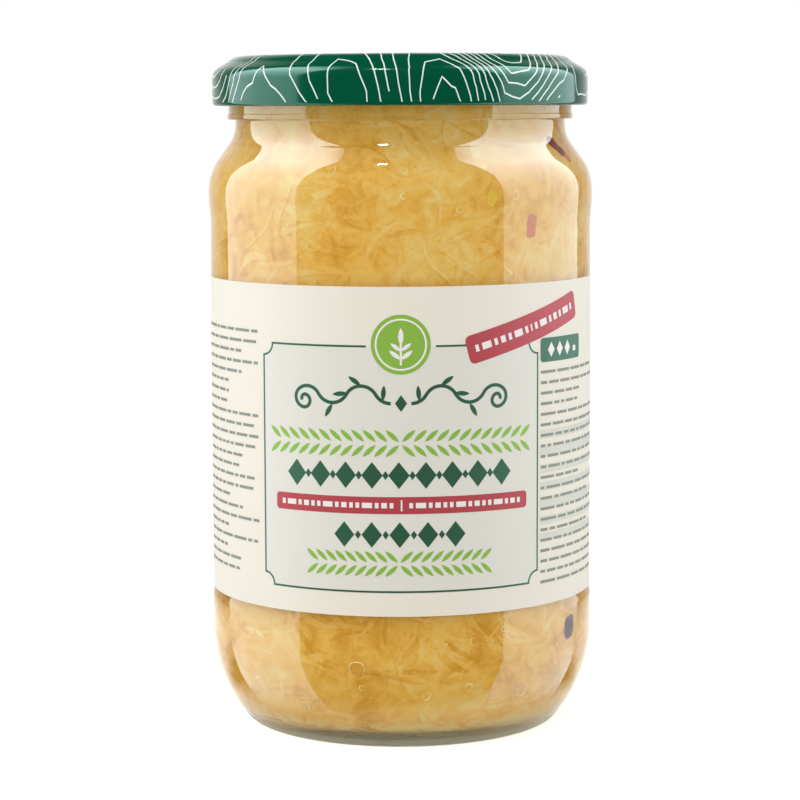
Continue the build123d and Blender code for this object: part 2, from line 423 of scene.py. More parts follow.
def vertices(piece):
    """The piece's vertices as an array."""
    points = np.empty(len(piece.data.vertices) * 3, np.float64)
    piece.data.vertices.foreach_get("co", points)
    return points.reshape(-1, 3)


def move_vertices(piece, points):
    """Puts the piece's vertices where the array says."""
    piece.data.vertices.foreach_set("co", np.asarray(points, np.float64).ravel())
    piece.data.update()


def complete(piece, material, smooth=30.0):
    """Applies the place, smooths all but sharp edges, and gives the piece its material."""
    deselect()
    piece.select_set(True)
    bpy.context.view_layer.objects.active = piece
    bpy.ops.object.transform_apply(location=True, rotation=True, scale=True)
    bpy.ops.object.shade_smooth_by_angle(angle=math.radians(smooth))
    piece.data.materials.clear()
    piece.data.materials.append(material)
    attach(piece, "root")
    return piece


class TurnedSurface:
    """A surface turned about the jar's axis. A place on it is an angle round the axis from
    the front, a run along its outline, and a lift off it."""

    def __init__(self, outline, outward=1):
        self.points = np.array(outline)
        strides = np.hypot(*np.diff(self.points, axis=0).T)
        self.run = np.concatenate(([0], np.cumsum(strides)))
        along = np.gradient(self.points, self.run, axis=0)
        self.normal = outward * np.stack((along[:, 1], -along[:, 0]), axis=1)

    def radius(self, run):
        return np.interp(run, self.run, self.points[:, 0])

    def height(self, run):
        return np.interp(run, self.run, self.points[:, 1])

    def run_at(self, height):
        """The run at which the outline, which climbs, reaches a height."""
        return float(np.interp(height, self.points[:, 1], self.run))

    def place(self, angle, run, lift):
        radius = self.radius(run) + lift * np.interp(run, self.run, self.normal[:, 0])
        height = self.height(run) + lift * np.interp(run, self.run, self.normal[:, 1])
        return np.stack((radius * np.sin(angle), -radius * np.cos(angle), height), axis=-1)


# ---- materials ----


def node(tree, kind, inputs=None, **settings):
    """Adds a node with its settings. An input is set to a value, or is linked to a socket or
    to another node's first output."""
    made = tree.nodes.new("ShaderNode" + kind)
    for name, value in settings.items():
        setattr(made, name, value)
    for name, value in (inputs or {}).items():
        if isinstance(value, bpy.types.Node):
            value = value.outputs[0]
        if isinstance(value, bpy.types.NodeSocket):
            tree.links.new(value, made.inputs[name])
        else:
            made.inputs[name].default_value = value
    return made


def empty_tree(owner):
    """The node tree of a new material, world or lamp, with nothing in it."""
    owner.use_nodes = True
    owner.node_tree.nodes.clear()
    return owner.node_tree


def rgba(rgb):
    return (*rgb, 1.0)


def grain(tree, size, detail, strength, depth):
    """Unevenness in features of about this size: its pattern, and the bump that it makes."""
    place = node(tree, "TexCoord").outputs["Object"]
    pattern = node(
        tree, "TexNoise", {"Vector": place, "Scale": 1 / size, "Detail": detail}
    )
    return pattern, node(
        tree, "Bump", {"Height": pattern, "Strength": strength, "Distance": depth}
    )


def flint_glass(jar):
    """Pressed and blown soda-lime glass: clear and fire-polished, faintly wavy, and green only
    where one looks through a lot of it, as in the base."""
    material = bpy.data.materials.new("flint_glass_fire_polished")
    tree = empty_tree(material)
    waves = grain(tree, 14 * MM, 1.0, 0.35, 0.25 * MM)[1]
    # The ring that the jar stands on is stippled, so the base looks paler than the wall.
    place = node(tree, "TexCoord").outputs["Object"]
    height = node(tree, "SeparateXYZ", {0: place}).outputs["Z"]
    stipple = node(
        tree, "MapRange",
        {
            "Value": height, "From Min": jar.stipple_height, "From Max": 2 * jar.stipple_height,
            "To Min": 0.5, "To Max": 0.0,
        },
    )
    glass = node(
        tree, "BsdfPrincipled",
        {
            "Base Color": (1, 1, 1, 1), "Roughness": stipple, "IOR": 1.52,
            "Transmission Weight": 1.0, "Normal": waves,
        },
    )
    # Lamp light and scattered light go straight through, so that the food is lit evenly.
    path = node(tree, "LightPath").outputs
    passes = node(
        tree, "Math", {0: path["Is Shadow Ray"], 1: path["Is Diffuse Ray"]},
        operation="MAXIMUM",
    )
    clear = node(tree, "BsdfTransparent")
    surface = node(tree, "MixShader", {0: passes, 1: glass, 2: clear})
    body = node(tree, "VolumeAbsorption", {"Color": rgba(jar.tint), "Density": 14.0})
    node(tree, "OutputMaterial", {"Surface": surface, "Volume": body})
    return material


def cooked_cabbage(food):
    """Soft cooked cabbage in its juice: wet, and creamy to golden in clouds, so that its
    shreds melt into each other."""
    material = bpy.data.materials.new("cooked_cabbage_in_juice")
    tree = empty_tree(material)
    place = node(tree, "TexCoord").outputs["Object"]
    shade = node(tree, "Attribute", attribute_name="tone").outputs["Fac"]
    mixed = node(tree, "Math", {0: shade, 1: 0.12}, operation="MULTIPLY")
    # Clouds of three sizes in millimetres, and how far each moves the colour along the ramp.
    for size, detail, twist, share in (
        (17, 2.0, 0.6, 0.62), (5, 3.0, 1.4, 0.46), (1.6, 2.0, 2.0, 0.14),
    ):
        cloud = node(
            tree, "TexNoise",
            {"Vector": place, "Scale": 1 / (size * MM), "Detail": detail, "Distortion": twist},
        )
        mixed = node(
            tree, "Math", {0: cloud, 1: share, 2: mixed}, operation="MULTIPLY_ADD"
        )
    ramp = node(tree, "ValToRGB", {"Fac": mixed})
    first, last = ramp.color_ramp.elements
    first.position, first.color = 0.42, rgba(food.golden)
    last.position, last.color = 0.80, rgba(food.pale)
    ramp.color_ramp.elements.new(0.58).color = rgba(food.ochre)
    bump = node(
        tree, "Bump", {"Height": cloud, "Strength": 0.12, "Distance": 0.4 * MM}
    )
    flesh = node(
        tree, "BsdfPrincipled",
        {"Base Color": ramp, "Roughness": 0.45, "Specular IOR Level": 0.15, "Normal": bump},
    )
    node(tree, "OutputMaterial", {"Surface": flesh})
    return material


def plain_finish(name, base, roughness, size=None, strength=0.1, shift=0.0, **extra):
    """A finish of one colour with a fine grain of the given size, in its height and tone."""
    material = bpy.data.materials.new(name)
    tree = empty_tree(material)
    inputs = {"Base Color": rgba(base), "Roughness": roughness}
    if size:
        speckle, inputs["Normal"] = grain(tree, size, 3.0, strength, 0.1 * MM)
        if shift:
            darker = [v * (1 - shift) for v in base]
            inputs["Base Color"] = node(
                tree, "Mix", {"Factor": speckle, 6: rgba(darker), 7: rgba(base)},
                data_type="RGBA",
            ).outputs[2]
    surface = node(tree, "BsdfPrincipled", {**inputs, **extra})
    node(tree, "OutputMaterial", {"Surface": surface})
    return material


# ---- the glass ----


def shoulder_height(drop_in, lean, round_radius, hollow_radius):
    """Height of a bend, a straight and a bend back that come in by drop_in."""
    bends = round_radius + hollow_radius
    straight = (drop_in - bends * (1 - math.cos(lean))) / math.sin(lean)
    return bends * math.sin(lean) + straight * math.cos(lean)


def shoulder_bottom(jar):
    return jar.shoulder_top - shoulder_height(
        jar.band_radius - jar.neck_radius, jar.shoulder_lean, jar.shoulder_round,
        jar.shoulder_hollow,
    )


def dome(pen, edge_radius, rise):
    """Half of a shallow dome from its middle on the axis, as high as rise."""
    curvature = (edge_radius**2 + rise**2) / (2 * rise)
    pen.bend(curvature, -math.asin(edge_radius / curvature), 12)


def draw_outside(pen, jar):
    """From the middle of the base, under the push-up, out and up to the rim's land."""
    lean = jar.heel_lean
    ring_outer = (
        jar.band_radius - jar.heel_round * (1 - math.cos(lean)) - jar.heel_corner * math.cos(lean)
    )
    pen.start(0, jar.push_up)
    dome(pen, ring_outer - jar.ring_width, jar.push_up)
    pen.line_to(ring_outer, 0, 2)
    pen.bend(jar.heel_corner, math.pi / 2 - lean, 10)
    pen.bend(jar.heel_round, lean, 24)
    bottom = shoulder_bottom(jar)
    band, panel = jar.band_radius, jar.panel_radius
    panel_bottom = jar.lower_band_top + jar.lower_band_ramp
    panel_top = bottom - jar.upper_band_height - jar.upper_band_ramp
    band_bottom = bottom - jar.upper_band_height
    pen.pass_by(
        (band, jar.lower_band_top, 3 * MM, 3), (panel, panel_bottom, 3 * MM, 1),
        (panel, panel_top, 12 * MM, 24), (band, band_bottom, 12 * MM, 2), (band, bottom),
    )
    pen.line_to(band, bottom)
    pen.bend(jar.shoulder_round, jar.shoulder_lean, 16)
    back = jar.shoulder_hollow
    pen.line_to(
        jar.neck_radius + back * (1 - math.cos(jar.shoulder_lean)),
        jar.shoulder_top - back * math.sin(jar.shoulder_lean), 3,
    )
    pen.bend(back, -jar.shoulder_lean, 16)
    bead = jar.finish_radius + jar.bead_proud
    bead_top = jar.bead_bottom + jar.bead_height
    edge = 0.3 * MM
    pen.pass_by(
        (jar.neck_radius, jar.bead_bottom, edge, 1), (bead, jar.bead_bottom, edge, 1),
        (bead, bead_top, edge, 1), (jar.finish_radius, bead_top, 0.2 * edge, 1),
        (jar.finish_radius, jar.height),
    )
    pen.line_to(jar.finish_radius, jar.height - jar.rim_round, 56)
    pen.bend(jar.rim_round, math.pi / 2, 10)
    pen.line_to(jar.bore_radius + jar.rim_inner_round, jar.height)


def draw_hollow(pen, jar, clearance):
    """From the middle of the floor out and up to the bore, drawn in by clearance."""
    radius = jar.panel_radius - jar.wall - clearance
    lean, tilt = jar.inner_heel_lean, jar.shoulder_lean
    inner_round = jar.shoulder_round - jar.wall
    inner_hollow = jar.shoulder_hollow + jar.wall
    outer_start = jar.band_radius - jar.shoulder_round * (1 - math.cos(tilt))
    inner_start = jar.panel_radius - jar.wall - inner_round * (1 - math.cos(tilt))
    lift = (jar.wall - (outer_start - inner_start) * math.cos(tilt)) / math.sin(tilt)
    bottom = shoulder_bottom(jar) + (jar.shoulder_round - inner_round) * math.sin(tilt) - lift
    heel, corner = jar.inner_heel_round - clearance, jar.inner_corner - clearance
    floor_edge = radius - heel * (1 - math.cos(lean)) - corner * math.cos(lean)
    pen.start(0, jar.base_thickness + clearance + jar.floor_rise)
    dome(pen, floor_edge, jar.floor_rise)
    pen.heading = 0
    pen.bend(corner, math.pi / 2 - lean, 12)
    pen.bend(heel, lean, 20)
    pen.line_to(radius, bottom, 24)
    pen.bend(inner_round - clearance, tilt, 14)
    neck = jar.bore_radius - clearance
    bend_back = inner_hollow + clearance
    height = shoulder_height(radius - neck, tilt, inner_round - clearance, bend_back)
    pen.line_to(
        neck + bend_back * (1 - math.cos(tilt)), bottom + height - bend_back * math.sin(tilt), 3
    )
    pen.bend(bend_back, -tilt, 14)


def raise_threads(piece, jar, lid_bottom):
    """Pushes the finish's wall out into the thread ramps."""
    points = vertices(piece)
    radius = np.hypot(points[:, 0], points[:, 1])
    angle = np.arctan2(points[:, 1], points[:, 0])
    bead_top = jar.bead_bottom + jar.bead_height
    on_wall = (np.abs(radius - jar.finish_radius) < 0.01 * MM) & (points[:, 2] > bead_top)
    flank = (jar.thread_height - jar.thread_crest) / 2
    run_out = math.radians(3)
    out = np.zeros(len(points))
    for start in range(jar.thread_starts):
        behind = (angle - jar.thread_end - start * math.tau / jar.thread_starts) % math.tau
        middle = lid_bottom - jar.thread_show + jar.thread_rise * behind / jar.thread_arc
        off = np.abs(points[:, 2] - middle)
        ramp = np.clip((jar.thread_height / 2 - off) / flank, 0, 1)
        ends = np.clip(np.minimum(behind, jar.thread_arc - behind) / run_out, 0, 1)
        out = np.maximum(out, ramp * ends * jar.thread_depth * on_wall)
    grow = 1 + out / np.maximum(radius, MM)
    points[:, 0] *= grow
    points[:, 1] *= grow
    move_vertices(piece, points)


class JAR_OT_glass(bpy.types.Operator):
    """Model the glass jar"""

    bl_idname = "jar.glass"
    bl_label = "Glass jar"

    def execute(self, context):
        jar = context.scene.jar_sizes
        piece = blank("glass_jar")
        pen = Pen()
        draw_outside(pen, jar)
        draw_hollow(pen, jar, 0)
        pen.line_to(jar.bore_radius, jar.height - jar.rim_inner_round, 4)
        pen.bend(jar.rim_inner_round, -math.pi / 2, 4)
        turn_on_axis(240)
        deselect()
        raise_threads(piece, jar, LID_LOW.z)
        complete(piece, flint_glass(jar))
        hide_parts("jar")
        return {"FINISHED"}


# ---- the sauerkraut ----


def food_surface(context, piece):
    """Draws the outline of the sauerkraut and gives the surface that it turns."""
    jar, food = context.scene.jar_sizes, context.scene.food_sizes
    pen = Pen()
    draw_hollow(pen, jar, -food.reach)
    pen.line_to(jar.bore_radius + food.reach, food.top - 1 * MM, 3)
    return pen, TurnedSurface(outline_of(piece))


def food_outline(context):
    """The surface of the sauerkraut, for what lies on it."""
    sketch = blank("sketch")
    surface = food_surface(context, sketch)[1]
    deselect()
    bpy.data.objects.remove(sketch)
    return surface


def lie_on(surface, shape, angle, run, heading):
    """Lays a shape, given as vertices, at a place on the surface, with its X turned by
    heading from round the jar to up it, and its Z outwards."""
    along, across, out = shape.T
    right = along * math.cos(heading) - across * math.sin(heading)
    up = along * math.sin(heading) + across * math.cos(heading)
    up = np.clip(run + up, surface.run[0], surface.run[-1])
    return surface.place(angle + right / surface.radius(run), up, out)


def scatter(prototype, number):
    """Repeats a prototype with an array. Gives its vertices as number, vertex, axis."""
    modify(
        prototype, "ARRAY", count=number, relative_offset_displace=(0, 0, 0),
        use_merge_vertices=False,
    )
    return vertices(prototype).reshape(number, -1, 3)


def give_tone(piece, tones, per_copy):
    """Stores one number for each copy in the attribute that the colour reads."""
    tone = piece.data.attributes.new("tone", "FLOAT", "POINT")
    tone.data.foreach_set("value", np.repeat(tones, per_copy).astype(np.float32))


def random_run(surface, low, high, rng):
    """A run between low and high, as likely as the surface is wide there."""
    widest = 45 * MM
    while True:
        run = rng.uniform(low, high)
        if rng.uniform(0, widest) < surface.radius(run):
            return run


class JAR_OT_food(bpy.types.Operator):
    """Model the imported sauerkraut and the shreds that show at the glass"""

    bl_idname = "jar.food"
    bl_label = "Sauerkraut"

    def execute(self, context):
        food = context.scene.food_sizes
        core = blank("sauerkraut_core")
        pen, surface = food_surface(context, core)
        pen.line_to(0, food.top, 10)
        turn_on_axis(144)
        deselect()
        # Darker and more golden in the lower half. Underneath, painted light: the bottom lies in
        # shade, but is made pale so that the thick glass of the base, which shows it, looks lit.
        radii = np.hypot(*vertices(core)[:, :2].T)
        low = vertices(core)[:, 2] < food.top / 2
        painted_light_edge, fade = 36 * MM, 3 * MM
        # Painted light: the tone that makes the underside pale, fading out towards the edge of the
        # base.
        pale = 3.5 * np.clip((painted_light_edge - radii) / fade, 0, 1)
        give_tone(core, low * (pale - food.steeped), 1)
        material = cooked_cabbage(food)
        complete(core, material)
        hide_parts("sauerkraut")
        shreds = self.shreds(food, surface)
        complete(shreds, material, 60)
        return {"FINISHED"}

    def shreds(self, food, surface):
        """Flat curved ribbons, half sunk in the core and pressed flat by the glass."""
        rng = random.Random(food.seed)
        deselect()
        bpy.ops.mesh.primitive_cylinder_add(
            vertices=5, radius=0.5, depth=1, end_fill_type="TRIFAN",
            rotation=(0, math.pi / 2, 0),
        )
        shred = bpy.context.object
        shred.name = "sauerkraut_shreds"
        bpy.ops.object.transform_apply(rotation=True)
        edit()
        cut_at([cut / 6 - 0.5 for cut in range(1, 6)], (1, 0, 0))
        bpy.ops.object.mode_set(mode="OBJECT")
        copies = scatter(shred, food.shreds)
        low, high = surface.run[0] + 8 * MM, surface.run[-1] - 1 * MM
        tones = []
        for unit in copies:
            along, across, out = unit.T
            size = rng.triangular(4, 20, 8) * MM
            width = rng.uniform(0.7, 2.4) * MM
            depth = rng.uniform(0.25, 0.55) * MM
            heading = rng.gauss(0, 0.6) if rng.random() < 0.6 else rng.uniform(-1.57, 1.57)
            curve = rng.gauss(0, 0.5) / (14 * MM)
            wave, phase = rng.uniform(0, 0.5) * MM, rng.uniform(0, 6.28)
            roll = rng.gauss(0, 0.18)
            taper = 1 - 0.8 * np.abs(2 * along) ** 3
            x = along * size
            y = curve * x**2 + wave * np.sin(x / (2 * MM) + phase)
            y = y + taper * (across * width * math.cos(roll) - out * depth * math.sin(roll))
            z = taper * (across * width * math.sin(roll) + out * depth * math.cos(roll))
            # Pressed flat against the glass, some a little further out than others.
            show = rng.uniform(0.0, 0.12) * MM
            lift = np.minimum(z + 0.1 * MM, show)
            shape = np.stack((x, y, lift), axis=-1)
            spot = rng.uniform(-math.pi, math.pi), random_run(surface, low, high, rng)
            unit[:] = lie_on(surface, shape, *spot, heading)
            tones.append(-0.9 if rng.random() < 0.05 else rng.gauss(0.1, 0.4))
            # Darker and more golden in the lower half, as the core is.
            if surface.height(spot[1]) < food.top / 2:
                tones[-1] -= food.steeped
        move_vertices(shred, copies)
        give_tone(shred, np.array(tones), copies.shape[1])
        return shred


# ---- what is caught in the sauerkraut ----


def unit_lump(name, segments, rings, power=1.0):
    """A ball one across. A power under 1 squares it off."""
    deselect()
    bpy.ops.mesh.primitive_uv_sphere_add(segments=segments, ring_count=rings, radius=0.5)
    lump = bpy.context.object
    lump.name = name
    points = vertices(lump)
    move_vertices(lump, np.sign(points) * 0.5 * np.abs(2 * points) ** power)
    return lump


def bare_height(rng):
    """A height in millimetres above or below the label."""
    return rng.choice((rng.uniform(106, 132), rng.uniform(10, 28)))


class JAR_OT_bits(bpy.types.Operator):
    """Model the bacon, the berries, the ribs, the browned flecks and the air bubbles"""

    bl_idname = "jar.bits"
    bl_label = "Bits and bubbles"

    def execute(self, context):
        food = context.scene.food_sizes
        surface = food_outline(context)
        rng = random.Random(food.seed + 1)
        # A place is angle, height, heading, and length, width and thickness, in degrees and
        # millimetres. Those named here are at the front, and the rest at the sides and back.
        lean = [(62.4, 131.2, -54, 4.0, 3.4, 1.2), (64.8, 129.3, -60, 3.4, 3.0, 1.2)]
        fat = [(42.2, 114.4, 84, 4.9, 2.5, 1.6), (66.6, 127.9, -62, 2.4, 2.4, 1.0)]
        for _ in range(5):
            angle, height = rng.uniform(95, 320), bare_height(rng)
            size = rng.uniform(3.5, 7.5), rng.uniform(1.8, 2.8), 1.3
            rng.choice((lean, fat)).append((angle, height, rng.uniform(-80, 80), *size))
        berries = [(61.4, 24.0, 78, 5.4, 4.2, 2.6), (214, 117, 20, 4.6, 4.2, 2.6)]
        ribs = [(27.8, 120.5, 80, 3.4, 2.3, 1.2)]
        for _ in range(9):
            height = bare_height(rng)
            size = rng.uniform(2.2, 4.2), rng.uniform(1.4, 2.2), 1.0
            ribs.append((rng.uniform(60, 330), height, rng.uniform(-80, 80), *size))
        cured = 0.4, 1.1 * MM, 0.4, 0.45
        for name, places, power, show, finish in (
            # Cured pork: the lean is dark red and moist, the fat is rosy and waxy.
            ("bacon_lean", lean, 0.7, 0.14, ("bacon_lean_cured", food.bacon, *cured)),
            ("bacon_fat", fat, 0.5, 0.14, ("bacon_fat_cured", food.fat, *cured)),
            # Dried berry: dark red-brown skin, finely wrinkled, with a dull bloom.
            (
                "juniper_berries", berries, 0.95, 0.14,
                ("juniper_berry_skin", food.berry, 0.55, 0.6 * MM, 0.5, 0.3),
            ),
            # Cut rib of a cabbage leaf: firm, waxy and clear yellow.
            (
                "yellow_ribs", ribs, 0.8, 0.05,
                ("cabbage_rib", food.rib, 0.4, 2 * MM, 0.2, 0.2),
            ),
        ):
            piece = self.lumps(surface, name, places, power, show)
            complete(piece, plain_finish(*finish), 60)
        self.flecks(food, surface, rng)
        self.bubbles(food, surface, rng)
        return {"FINISHED"}

    def lumps(self, surface, name, places, power, show):
        """Lumps laid at the places, pressed flat by the glass, show millimetres out."""
        piece = unit_lump(name, 20, 14, power)
        copies = scatter(piece, len(places))
        for unit, (angle, height, heading, *size) in zip(copies, places):
            start = Vector((angle, height, 0))
            uneven = [1 + 0.22 * noise.noise(Vector(point) * 3 + start) for point in unit]
            shape = unit * np.array(uneven)[:, None] * np.array(size) * MM
            shape[:, 2] = np.minimum(shape[:, 2] + 0.25 * size[2] * MM, show * MM)
            run = surface.run_at(height * MM)
            unit[:] = lie_on(surface, shape, math.radians(angle), run, math.radians(heading))
        move_vertices(piece, copies)
        return piece

    def flecks(self, food, surface, rng):
        piece = unit_lump("browned_flecks", 6, 4)
        copies = scatter(piece, food.flecks)
        for unit in copies:
            size = np.array((rng.triangular(0.3, 1.8, 0.5), rng.uniform(0.14, 0.3), 0.4)) * MM
            shape = unit * size
            shape[:, 1] += rng.gauss(0, 0.25) / MM * shape[:, 0] ** 2
            shape[:, 2] = np.minimum(shape[:, 2] + 0.1 * MM, 0.13 * MM)
            run = random_run(surface, surface.run[0] + 6 * MM, surface.run[-1], rng)
            angle = rng.uniform(-math.pi, math.pi)
            unit[:] = lie_on(surface, shape, angle, run, rng.uniform(-1.57, 1.57))
        move_vertices(piece, copies)
        # Browned cabbage edge: soft, dull and golden.
        finish = plain_finish("browned_cabbage_edge", food.fleck, 0.5, 0.8 * MM, 0.2, 0.3)
        complete(piece, finish, 60)

    def bubbles(self, food, surface, rng):
        """Painted highlights round the bubbles, and behind the larger ones a pool of darker juice.
        """
        deselect()
        bpy.ops.mesh.primitive_torus_add(
            major_segments=18, minor_segments=4, major_radius=1, minor_radius=0.5
        )
        highlight_rings = bpy.context.object
        highlight_rings.name = "bubble_rims"
        pools = unit_lump("juice_pools", 12, 6)
        # Angle, height and size of the ones at the front, in degrees and millimetres.
        spots = [
            (-13.5, 18.8, 1.75), (-33.4, 9.4, 1.2), (21.8, 24.6, 0.75), (20.8, 14.5, 0.8),
            (41.2, 12.2, 1.2), (7.6, 13.0, 0.8), (1.0, 126.3, 0.8), (36.0, 121.0, 0.8),
        ]
        while len(spots) < food.bubbles:
            run = random_run(surface, surface.run[0] + 6 * MM, surface.run[-1], rng)
            height = surface.height(run) / MM
            spots.append((rng.uniform(-180, 180), height, rng.triangular(0.15, 0.95, 0.25)))
        highlight_copies = scatter(highlight_rings, len(spots))
        deep = [spot[2] > 1.25 for spot in spots]
        pool_copies = scatter(pools, sum(deep))
        empty_pools = iter(pool_copies)
        for unit, (angle, height, size), has_pool in zip(highlight_copies, spots, deep):
            run = surface.run_at(height * MM)
            round_it = np.arctan2(unit[:, 1], unit[:, 0])
            tube = np.hypot(unit[:, 0], unit[:, 1]) - 1
            phase, bulge = rng.uniform(0, 6.28), rng.uniform(0.05, 0.28)
            thick = rng.uniform(0.2, 0.32) * (0.55 + 0.45 * np.cos(round_it + phase))
            reach = size * (1 + bulge * np.cos(2 * round_it + phase) + 0.1 * np.sin(3 * round_it))
            reach = reach + tube * thick
            out = unit[:, 2] * thick + 0.1
            shape = np.stack((reach * np.cos(round_it), reach * np.sin(round_it), out), axis=-1)
            spot = math.radians(angle), run, rng.uniform(0, 3.14)
            unit[:] = lie_on(surface, shape * MM, *spot)
            if has_pool:
                pool = next(empty_pools)
                flat = pool * np.array((1.8, 1.5, 0.3)) * size
                flat[:, 2] = np.minimum(flat[:, 2] + 0.1, 0.125)
                pool[:] = lie_on(surface, flat * MM, *spot)
        move_vertices(highlight_rings, highlight_copies)
        move_vertices(pools, pool_copies)
        # Painted highlight on air against wet cabbage, round clear deeper-coloured juice.
        complete(highlight_rings, plain_finish("bubble_edge", food.rim, 0.2), 60)
        complete(pools, plain_finish("golden_juice", food.juice, 0.15, 3 * MM, 0.1, 0.2), 60)


# ---- the label ----


class JAR_OT_label(bpy.types.Operator):
    """Model the paper label"""

    bl_idname = "jar.label"
    bl_label = "Label"

    def execute(self, context):
        label = context.scene.label_sizes
        piece = blank("paper_label")
        Pen().start(label.radius, label.bottom).line_to(label.radius, label.top, 30)
        half_gap = label.seam / 2 / label.radius
        turn_on_axis(200, math.tau - 2 * half_gap)
        deselect()
        modify(piece, "SOLIDIFY", thickness=label.thickness, offset=-1, use_even_offset=True)
        piece.rotation_euler.z = math.pi / 2 + half_gap
        # Uncoated wet-strength paper: matt, with a faint fibre in its tone and surface.
        paper = plain_finish(
            "uncoated_label_paper", label.paper, 0.62, 0.5 * MM, 0.25, 0.035
        )
        complete(piece, paper)
        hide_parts("label")
        return {"FINISHED"}


# ---- the print on the label ----


def close_shape():
    """Joins the ends of the outline just drawn and fills it."""
    bpy.ops.mesh.select_linked()
    bpy.ops.mesh.remove_doubles(threshold=MERGE)
    bpy.ops.mesh.edge_face_add()


def draw_field(pen, x, z, width, height, corner, degrees=0.0):
    """A filled rectangle with round corners about x, z, turned by degrees."""
    lean = math.radians(degrees)
    half_width, half_height = width / 2 - corner, height / 2
    pen.start(
        x - half_width * math.cos(lean) + half_height * math.sin(lean),
        z - half_width * math.sin(lean) - half_height * math.cos(lean), lean,
    )
    for side in (width, height, width, height):
        pen.forward(side - 2 * corner)
        pen.bend(corner, math.pi / 2, 4)
    close_shape()


def draw_leaf(pen, x, z, side, degrees, size, belly=34):
    """A filled pointed leaf from x, z, at an angle up from the right, or from the left where
    side is negative. Its edges leave its tips by the angle belly."""
    belly = math.radians(belly)
    heading = math.radians(degrees if side > 0 else 180 - degrees)
    pen.start(x, z, heading + belly)
    for _ in range(2):
        pen.bend(size / 2 / math.sin(belly), -2 * belly, 5)
        pen.heading += math.pi + 2 * belly
    close_shape()


def draw_lozenge(pen, x, z, width, height):
    """A filled lozenge about x, z."""
    pen.start(x - width / 2, z)
    for right, up in ((0, -1), (1, 0), (0, 1), (-1, 0)):
        pen.line_to(x + right * width / 2, z + up * height / 2)
    close_shape()


def draw_circle(pen, radius, height, corners, fill="NOTHING"):
    """A circle in the middle of the label, at a height."""
    bpy.ops.mesh.primitive_circle_add(
        vertices=corners, radius=radius * pen.unit, fill_type=fill,
        location=(0, 0, height * pen.unit), rotation=(math.pi / 2, 0, 0),
    )


def draw_border(pen, width, low, high, notch, gap=0):
    """An outline with hollow corners, clockwise from right of the gap in its upper line."""
    half = width / 2
    pen.start(gap / 2, high)
    for x, z in (
        (half - notch, high), (half, low + notch), (notch - half, low), (-half, high - notch),
    ):
        pen.line_to(x, z)
        pen.heading -= math.pi / 2
        pen.bend(notch, math.pi / 2, 10)
    pen.line_to(-gap / 2, high)


def draw_panel(pen, *sizes):
    """The border without a gap, filled."""
    draw_border(pen, *sizes)
    close_shape()


def draw_garland(pen, left, right, z, leaf):
    """Pairs of leaves that point away from the middle of a row."""
    pairs = round((right - left) / 2 / (0.62 * leaf))
    for side in (-1, 1):
        for pair in range(pairs):
            x = (left + right) / 2 + side * (pair + 0.12) * (right - left) / 2 / pairs
            for up in (-1, 1):
                draw_leaf(pen, x, z + 0.08 * leaf * up, side, 42 * up, leaf, 30)


def draw_lozenges(pen, left, right, z, height, number):
    """A row of tall lozenges with a small one in each gap."""
    pitch = (right - left - 0.8 * height) / (number - 1)
    for step in range(number):
        x = left + 0.4 * height + step * pitch
        draw_lozenge(pen, x, z, 0.8 * height, height)
        if step < number - 1:
            draw_lozenge(pen, x + pitch / 2, z, 0.24 * height, 0.34 * height)


def draw_scroll(pen, x, z, side, wave=3.7):
    """A wavy tendril that runs out from x, z and curls up at its end."""
    pen.start(x, z, 0 if side > 0 else math.pi)
    for share, degrees in (
        (1, 60), (1, -120), (1, 120), (0.85, -100), (0.6, -130), (0.38, -170), (0.22, -140),
    ):
        pen.bend(share * wave, side * math.radians(degrees))


def raise_ink(ink):
    """Gives all that is drawn the ink's thickness, towards -Y, and leaves edit mode."""
    select_all()
    bpy.ops.mesh.extrude_region_move(TRANSFORM_OT_translate={"value": (0, -ink, 0)})
    select_all()
    bpy.ops.mesh.normals_make_consistent(inside=False)
    deselect()


def inked(ink, shapes, line=None):
    """A flat piece with all the shapes, each a draw function and its values in millimetres.
    They are filled, or drawn as a line of the width given in metres."""
    piece = blank("ink")
    pen = Pen(MM)
    for draw, *values in shapes:
        draw(pen, *values)
    raise_ink(ink)
    if line:
        modify(piece, "SOLIDIFY", thickness=line, offset=0, use_even_offset=True)
    return piece


def dashes(places, ink):
    """Small filled dashes. A place is x, z, width and height in millimetres, and a lean."""
    deselect()
    bpy.ops.mesh.primitive_grid_add(
        x_subdivisions=4, y_subdivisions=1, size=1, rotation=(math.pi / 2, 0, 0)
    )
    piece = bpy.context.object
    bpy.ops.object.transform_apply(rotation=True)
    bpy.ops.object.mode_set(mode="EDIT")
    raise_ink(ink)
    copies = scatter(piece, len(places))
    for unit, (x, z, width, height, lean) in zip(copies, places):
        across, up = unit[:, 0] * width, unit[:, 2] * height
        unit[:, 0] = (x + across * math.cos(lean) - up * math.sin(lean)) * MM
        unit[:, 2] = (z + across * math.sin(lean) + up * math.cos(lean)) * MM
    move_vertices(piece, copies)
    return piece


def row_of_dashes(widths, gap, x, z, height, degrees=0.0):
    """Places for a row of dashes about x, z, turned by degrees."""
    lean = math.radians(degrees)
    along = -(sum(widths) + gap * (len(widths) - 1)) / 2
    places = []
    for width in widths:
        middle = along + width / 2
        right, up = middle * math.cos(lean), middle * math.sin(lean)
        places.append((x + right, z + up, width, height, lean))
        along += width + gap
    return places


